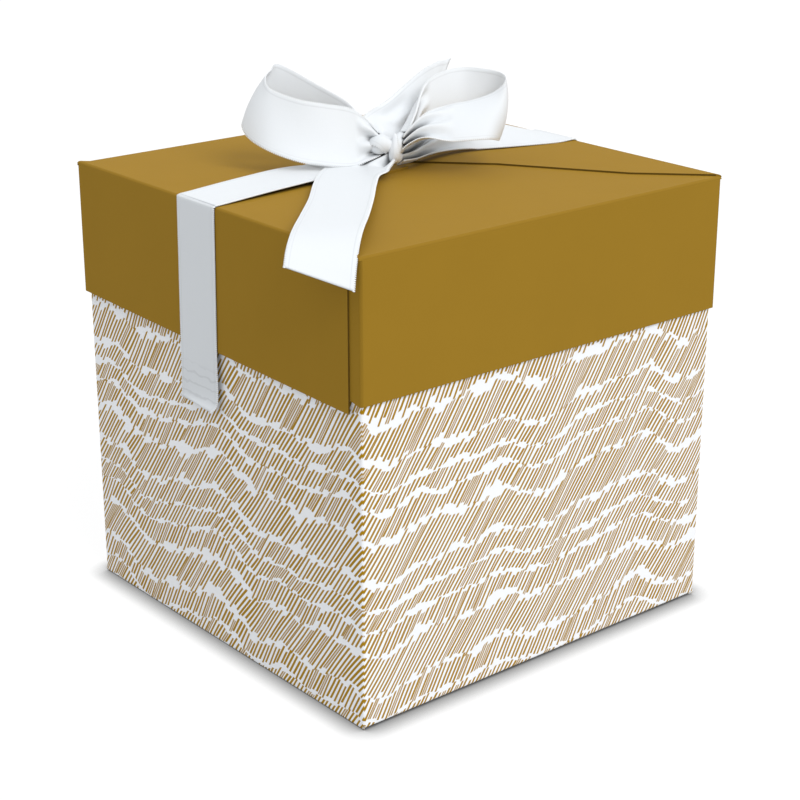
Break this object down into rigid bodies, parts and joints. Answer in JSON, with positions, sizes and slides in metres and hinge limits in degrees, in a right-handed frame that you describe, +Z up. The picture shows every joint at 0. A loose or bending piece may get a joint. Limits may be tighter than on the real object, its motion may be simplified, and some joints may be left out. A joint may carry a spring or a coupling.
{
  "type": "favor box",
  "caption": "Square folded-board favor box with a lift-off lid and a satin ribbon bow tied on the lid.",
  "frame": {"origin": "middle of the underside of the base, where it rests on the table", "axes": "+Z up, -Y towards the front face, -X towards the face that carries the ribbon's hanging end"},
  "size_m": [0.1151, 0.105, 0.1242],
  "materials": {
    "printed_board": "matte coated board with a printed ochre hatch",
    "ochre_board": "matte board printed solid ochre",
    "satin_ribbon": "white satin",
    "clear_tape": "double-sided adhesive tape"
  },
  "bodies": {
    "base": {"base_front_wall": "printed_board", "base_right_wall": "printed_board", "base_back_wall": "printed_board", "base_left_wall": "printed_board", "base_glue_tab": "printed_board", "bottom_left_flap": "printed_board", "bottom_right_flap": "printed_board", "bottom_front_flap": "printed_board", "bottom_back_flap": "printed_board"},
    "lid": {"lid_front_skirt": "ochre_board", "lid_right_skirt": "ochre_board", "lid_back_skirt": "ochre_board", "lid_left_skirt": "ochre_board", "lid_glue_tab": "ochre_board", "lid_left_flap": "ochre_board", "lid_right_flap": "ochre_board", "lid_front_flap": "ochre_board", "lid_back_flap": "ochre_board", "ribbon_left_band": "satin_ribbon", "ribbon_right_band": "satin_ribbon", "ribbon_left_tape": "clear_tape", "ribbon_right_tape": "clear_tape", "ribbon_knot": "satin_ribbon", "ribbon_left_loop": "satin_ribbon", "ribbon_right_loop": "satin_ribbon", "ribbon_front_tail": "satin_ribbon", "ribbon_back_tail": "satin_ribbon"}
  },
  "joints": [
    {"name": "lid_lift", "type": "slide", "parent": "base", "child": "lid", "axis": [0, 0, 1], "range_m": [0, 0.15]}
  ]
}
